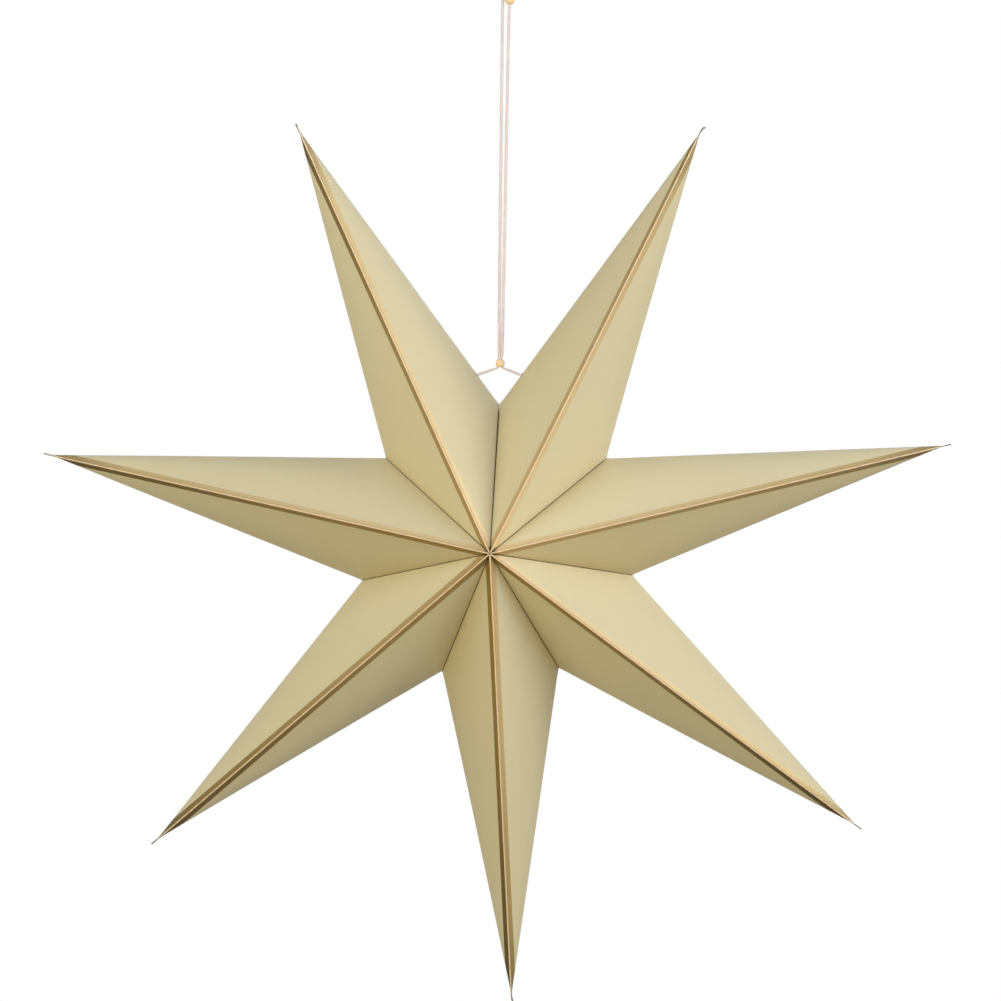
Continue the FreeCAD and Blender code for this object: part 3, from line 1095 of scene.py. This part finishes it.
    def build(self, beads: list[Piece]) -> Piece:
        """Args:
            beads: The beads on it; not used.

        Returns:
            The cord.
        """
        line = self.centreline()
        cord = self.plies(line, "cord", self.girth(line))
        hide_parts("hanging_cord")
        top = self.knot("top_knot", self.knot_middle, self.knot_width, self.full)
        left = self.knot("stopper_left", tuple(line[0]), self.stopper_width, self.stopper_cord)
        right = self.knot("stopper_right", tuple(line[-1]), self.stopper_width, self.stopper_cord)
        return cord


@dataclass(frozen=True)
class Lamp:
    """A square soft lamp, placed by where it stands as seen from the front of the star.

    Turn runs clockwise from straight up. Lift runs from the star's plane towards the front.
    """

    name: str
    turn: float
    lift: float
    distance: float
    width: float
    watts: float
    tint: Colour

    def place(self) -> Vector:
        """Where the lamp stands, from the star's centre."""
        turn, lift = math.radians(self.turn), math.radians(self.lift)
        across = math.cos(lift)
        return Vector((across * math.sin(turn), -math.sin(lift), across * math.cos(turn))) * self.distance

    def hang(self, centre: Vector) -> None:
        """Puts the lamp in the scene, aimed at the centre."""
        data = bpy.data.lights.new(self.name, "AREA")
        data.shape, data.size, data.energy, data.color = "SQUARE", self.width, self.watts, self.tint
        lamp, place = new_object(self.name, data), self.place()
        lamp.location = centre + place
        lamp.rotation_euler = (-place).to_track_quat("-Z", "Y").to_euler()


LAMPS = (
    Lamp("right", 68, 20, 2.6, 1.61, 43.5, (0.882, 0.908, 1.0)),
    Lamp("right_low", 100, 20, 2.6, 1.61, 10.4, (1.0, 0.9, 0.7)),
    Lamp("top_right", 45, 50, 1.5, 0.93, 9.6, (0.28, 0.41, 1.0)),
    Lamp("front", 0, 80, 1.5, 0.93, 12.5, (1.0, 0.94, 0.65)),
    Lamp("left", 262, 50, 2.6, 1.61, 20.0, (1.0, 0.95, 0.82)),
    Lamp("top_left", 320, 35, 1.5, 0.93, 7.6, (0.64, 0.755, 1.0)),
    Lamp("left_rim", 270, 5, 1.5, 0.93, 4.0, (0.8, 0.82, 1.0)),
    Lamp("rim", 50, -20, 2.2, 1.3, 1.6, (0.6, 0.6, 1.0)),
    Lamp("back_right", 60, -68, 2.6, 1.2, 32.0, (1.0, 0.98, 0.92)),
    Lamp("back_left", 290, -75, 2.6, 1.2, 28.0, (1.0, 0.98, 0.92)),
)


@dataclass(frozen=True)
class Studio:
    """A white room: pale floor, soft lamps and the photograph's view."""

    star: StarSizes
    floor_drop: float = 2.4
    floor_radius: float = 1.2
    distance_in_radii: float = 9.0
    star_pixels: float = 463.72
    frame_pixels: float = 1001.0
    yaw: float = 2.84
    rise: float = 4.24
    roll: float = 1.28
    aim: tuple[float, float] = (0.0025, 0.03265)
    sensor: float = 36.0
    far_clip: float = 60.0
    glow: float = 0.04
    floor_steps: int = 97
    floor_grey: float = 0.82
    floor_roughness: float = 0.9

    @property
    def reach(self) -> float:
        """The star's radius, tails and all."""
        return self.star.tip_radius + self.star.tail_length

    def camera(self) -> None:
        """Puts the camera where the photograph was taken from, aimed just above the star's middle."""
        lens = self.star_pixels * self.distance_in_radii / self.frame_pixels * self.sensor
        data = bpy.data.cameras.new("view")
        data.lens, data.sensor_width, data.clip_end = lens, self.sensor, self.far_clip
        camera = new_object("view", data)
        yaw, rise = math.radians(self.yaw), math.radians(self.rise)
        back = Vector((math.sin(yaw) * math.cos(rise), -math.cos(yaw) * math.cos(rise), math.sin(rise)))
        aim = self.star.centre + Vector((self.aim[0], 0.0, self.aim[1]))
        turn = (-back).to_track_quat("-Z", "Y").to_matrix() @ Matrix.Rotation(math.radians(self.roll), 3, "Z")
        stand = Matrix.Translation(aim + back * self.reach * self.distance_in_radii)
        camera.matrix_world = stand @ turn.to_4x4()
        bpy.context.scene.camera = camera

    def floor(self) -> None:
        """A round pale floor well below the star."""
        angle = np.linspace(0.0, 2 * np.pi, self.floor_steps)[None, :]
        radius = np.array([0.0, self.floor_radius])[:, None]
        x, y = radius * np.cos(angle), radius * np.sin(angle)
        parts = MeshParts()
        parts.add_grid(np.stack([x, y, np.full_like(x, -self.floor_drop)], axis=-1), False, Face.PRINTED)
        floor = parts.build("floor")
        material, nodes = new_material("floor")
        grey = (self.floor_grey, self.floor_grey, self.floor_grey)
        shader = nodes.add("BsdfPrincipled", Base_Color=grey, Roughness=self.floor_roughness)
        nodes.add("OutputMaterial", Surface=shader.outputs[0])
        floor.data.materials.append(material)

    def world(self) -> None:
        """Soft white all round that the camera, metal and glass see as plain white."""
        world = bpy.data.worlds.new("room")
        world.use_nodes = True
        bpy.context.scene.world = world
        nodes = Nodes(world.node_tree)
        path = nodes.add("LightPath").outputs
        seen = nodes.math("MAXIMUM", path["Is Camera Ray"], path["Is Glossy Ray"])
        seen = nodes.math("MAXIMUM", seen, path["Is Transmission Ray"])
        strength = nodes.ramp(seen, 0.0, 1.0, self.glow, 1.0)
        light = nodes.add("Background", Color=(1.0, 1.0, 1.0), Strength=strength)
        nodes.add("OutputWorld", Surface=light.outputs[0])

    def build(self) -> None:
        """Lights the room and sets the view."""
        bpy.context.scene.view_settings.view_transform = "Standard"
        self.camera()
        self.floor()
        for lamp in LAMPS:
            lamp.hang(self.star.centre)
        self.world()
        log.info("studio ready")


def main() -> None:
    """Builds the star, the beads and the cord in their studio."""
    logging.basicConfig(level=logging.INFO, format="%(message)s")
    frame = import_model()
    log.info("frame: %d nodes", len(frame["nodes"]))
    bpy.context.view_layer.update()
    sizes = StarSizes()
    group = mottle_group()
    grey = srgb(112, 110, 104)
    card = [
        CardFinish().dress(group),
        PlainFinish("card_inside", srgb(226, 220, 200), 1500.0, 0.10, roughness=0.8).dress(group),
        PlainFinish("cut_edge", srgb(224, 192, 142), 3000.0, 0.12, roughness=0.7, tail=grey).dress(group),
    ]
    wood = PlainFinish(
        "bead_wood", srgb(233, 198, 142), 900.0, 0.30, roughness=0.45, bump=0.15, stretch=(1.0, 1.0, 0.15)
    ).dress(group)
    cotton = PlainFinish("cord_cotton", srgb(217, 201, 188), 2500.0, 0.35, 0.85, bump=0.5).dress(group)
    CardStar(sizes, card).build()
    beads = [
        WoodenBead("bead_low", "star_bead", (0.0, 0.0, -0.3187), 0.0035, 0.0017, wood).build(),
        WoodenBead("bead_high", "top_bead", (0.0012, 0.0, -0.0464), 0.004, 0.0011, wood).build(),
    ]
    HangingCord(cotton, sizes.hang_drop).build(beads)
    Studio(sizes).build()


if __name__ == "__main__":
    main()
